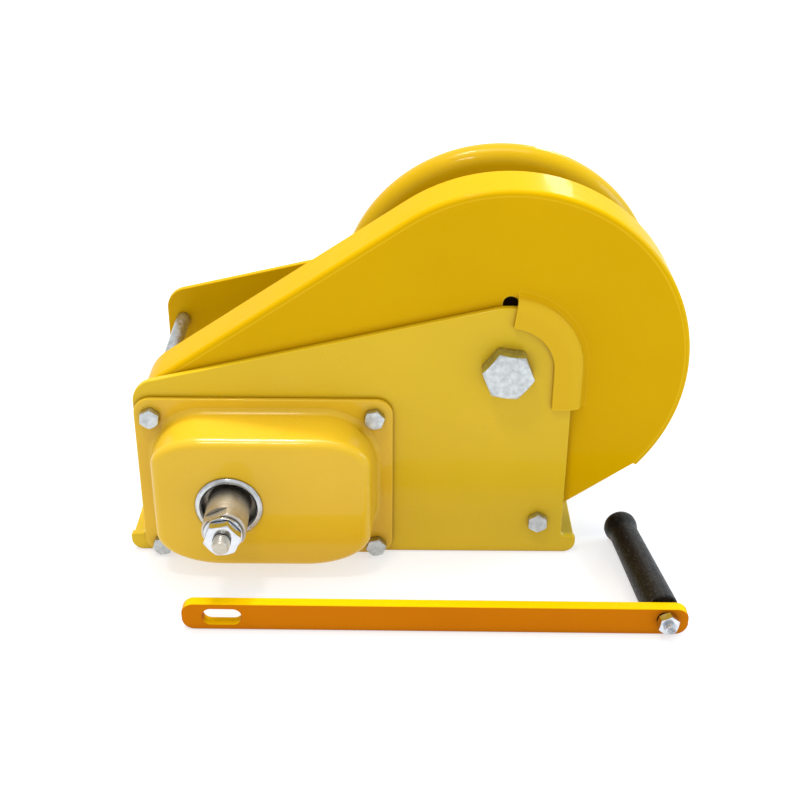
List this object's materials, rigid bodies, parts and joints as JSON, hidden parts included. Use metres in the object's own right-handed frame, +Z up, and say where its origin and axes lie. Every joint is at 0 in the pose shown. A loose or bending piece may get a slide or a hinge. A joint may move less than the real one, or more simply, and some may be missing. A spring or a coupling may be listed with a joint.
{
  "type": "hand brake winch",
  "caption": "Hand brake winch: plate frame, geared rope drum under a pressed hood, screw-operated friction brake under a domed cover, and a loose crank with a turning grip.",
  "frame": {"origin": "centre of the flat underside of the base between the two cheeks, on the floor plane", "axes": "+Z up; +Y from the crank side through the winch to the far cheek, along the drum axis; +X from the brake end towards the rope drum"},
  "size_m": [0.3048, 0.2277, 0.2132],
  "materials": {
    "yellow_paint": "glossy yellow enamel over pressed steel",
    "orange_paint": "satin orange-yellow enamel on flat bar",
    "zinc_plate": "bright zinc plating",
    "chrome": "polished",
    "turned_steel": "machined, lightly oiled",
    "bronze": "sintered bronze, oiled",
    "friction_lining": "dark woven brake lining",
    "black_grip": "satin moulded plastic"
  },
  "bodies": {
    "frame": {"near_cheek": "yellow_paint", "far_cheek": "yellow_paint", "base_plate": "yellow_paint", "gear_hood": "yellow_paint", "brake_cover": "yellow_paint", "cover_ring": "chrome", "cover_bolt_lower_left": "zinc_plate", "cover_bolt_lower_right": "zinc_plate", "cover_bolt_upper_right": "zinc_plate", "cover_bolt_upper_left": "zinc_plate", "tie_rod": "zinc_plate", "tie_rod_bolt": "zinc_plate", "hood_bolt": "zinc_plate", "hood_nut": "zinc_plate", "axle_bolt": "zinc_plate", "axle_washer": "zinc_plate", "axle_nut": "zinc_plate", "axle_sleeve": "turned_steel", "crank_bush_near": "bronze", "crank_bush_far": "bronze", "counter_bush_near": "bronze", "counter_bush_far": "bronze", "pawl_pin": "turned_steel", "pawl_clip": "turned_steel"},
    "drum": {"drum_barrel": "yellow_paint", "drum_flange_near": "yellow_paint", "drum_flange_far": "yellow_paint", "drum_gear": "turned_steel", "drum_bush_near": "bronze", "drum_bush_far": "bronze", "rope_clamp": "zinc_plate", "rope_clamp_bolt": "zinc_plate"},
    "countershaft": {"counter_shaft": "turned_steel", "counter_gear": "turned_steel", "counter_pinion": "turned_steel", "counter_circlip": "turned_steel"},
    "crankshaft": {"crank_shaft": "turned_steel", "crank_pinion": "turned_steel", "crank_circlip": "turned_steel", "pressure_flange": "turned_steel", "friction_disc_inner": "friction_lining", "hub_washer": "zinc_plate", "hub_nut": "zinc_plate"},
    "brake_hub": {"drive_hub": "turned_steel", "friction_disc_outer": "friction_lining"},
    "ratchet": {"ratchet_wheel": "turned_steel"},
    "pawl": {"pawl": "turned_steel", "pawl_spring": "turned_steel"},
    "crank": {"crank_arm": "orange_paint", "grip_bolt": "chrome", "grip_nut": "chrome"},
    "grip": {"grip": "black_grip"}
  },
  "joints": [
    {"name": "drum_spin", "type": "hinge", "parent": "frame", "child": "drum", "pos_m": [0.082, -0.00225, 0.1162], "axis": [0, 1, 0], "continuous": true},
    {"name": "countershaft_spin", "type": "hinge", "parent": "frame", "child": "countershaft", "pos_m": [-0.01493, -0.00225, 0.08444], "axis": [0, 1, 0], "continuous": true},
    {"name": "crankshaft_spin", "type": "hinge", "parent": "frame", "child": "crankshaft", "pos_m": [-0.0646, -0.00225, 0.0486], "axis": [0, 1, 0], "continuous": true},
    {"name": "hub_screw", "type": "hinge", "parent": "crankshaft", "child": "brake_hub", "pos_m": [-0.0646, -0.09225, 0.0486], "axis": [0, 1, 0], "range_deg": [-45, 0]},
    {"name": "ratchet_spin", "type": "hinge", "parent": "frame", "child": "ratchet", "pos_m": [-0.0646, -0.07685, 0.0486], "axis": [0, 1, 0], "continuous": true},
    {"name": "pawl_lift", "type": "hinge", "parent": "frame", "child": "pawl", "pos_m": [-0.0256, -0.07685, 0.0633], "axis": [0, -1, 0], "range_deg": [0, 14], "stiffness_Nm_per_rad": 0.05, "springref_deg": -28.65},
    {"name": "crank_lift", "type": "slide", "parent": "frame", "child": "crank", "axis": [0, -0.6, 0.8], "range_m": [0, 0.15]},
    {"name": "grip_spin", "type": "hinge", "parent": "crank", "child": "grip", "pos_m": [0.1632, -0.13243, 0.0096], "axis": [-0.1323, 0.9912, 0], "continuous": true}
  ],
  "couplings": [
    {"joint": "countershaft_spin", "follows": "drum_spin", "ratio": -4.6667},
    {"joint": "crankshaft_spin", "follows": "drum_spin", "ratio": 14.389}
  ]
}
